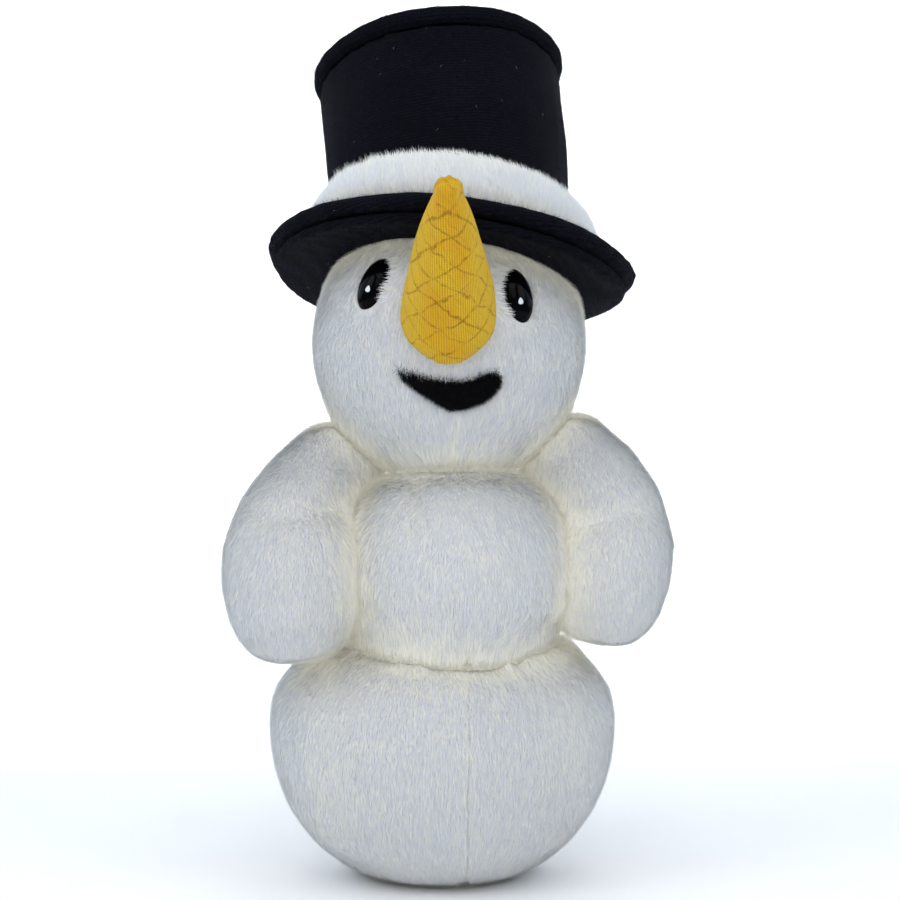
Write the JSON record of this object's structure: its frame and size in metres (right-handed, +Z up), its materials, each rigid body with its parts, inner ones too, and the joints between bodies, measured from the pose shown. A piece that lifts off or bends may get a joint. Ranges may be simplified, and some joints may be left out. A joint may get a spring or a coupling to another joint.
{
  "type": "plush snowman toy",
  "caption": "Sitting plush snowman of stacked stuffed balls with two arms, a jersey carrot nose, bead eyes, a pile mouth and a padded top hat.",
  "frame": {"origin": "middle of the flat patch that the bottom ball sits on", "axes": "+Z up from the base to the hat, the face looks along -Y, +X is on the right of someone facing the toy"},
  "size_m": [0.1612, 0.1599, 0.309],
  "materials": {
    "white_pile": "short dense white plush pile, matt, faintly ivory in the creases",
    "black_pile": "short black plush pile, matt",
    "black_fleece": "brushed near-black knit with fine wales and a soft cool sheen",
    "yellow_jersey": "fine yellow ribbed jersey with thin brown crossing lines",
    "black_plastic": "polished black"
  },
  "bodies": {
    "root": {"bottom_ball": "white_pile", "chest_ball": "white_pile", "arm_left": "white_pile", "arm_right": "white_pile", "head": "white_pile", "eye_left": "black_plastic", "eye_right": "black_plastic", "mouth": "black_pile", "nose": "yellow_jersey", "hat_brim_lower": "black_fleece", "hat_brim_upper": "black_fleece", "hat_crown": "black_fleece", "hat_top": "black_fleece", "hat_top_seam": "black_fleece", "hat_band": "white_pile"}
  },
  "joints": []
}
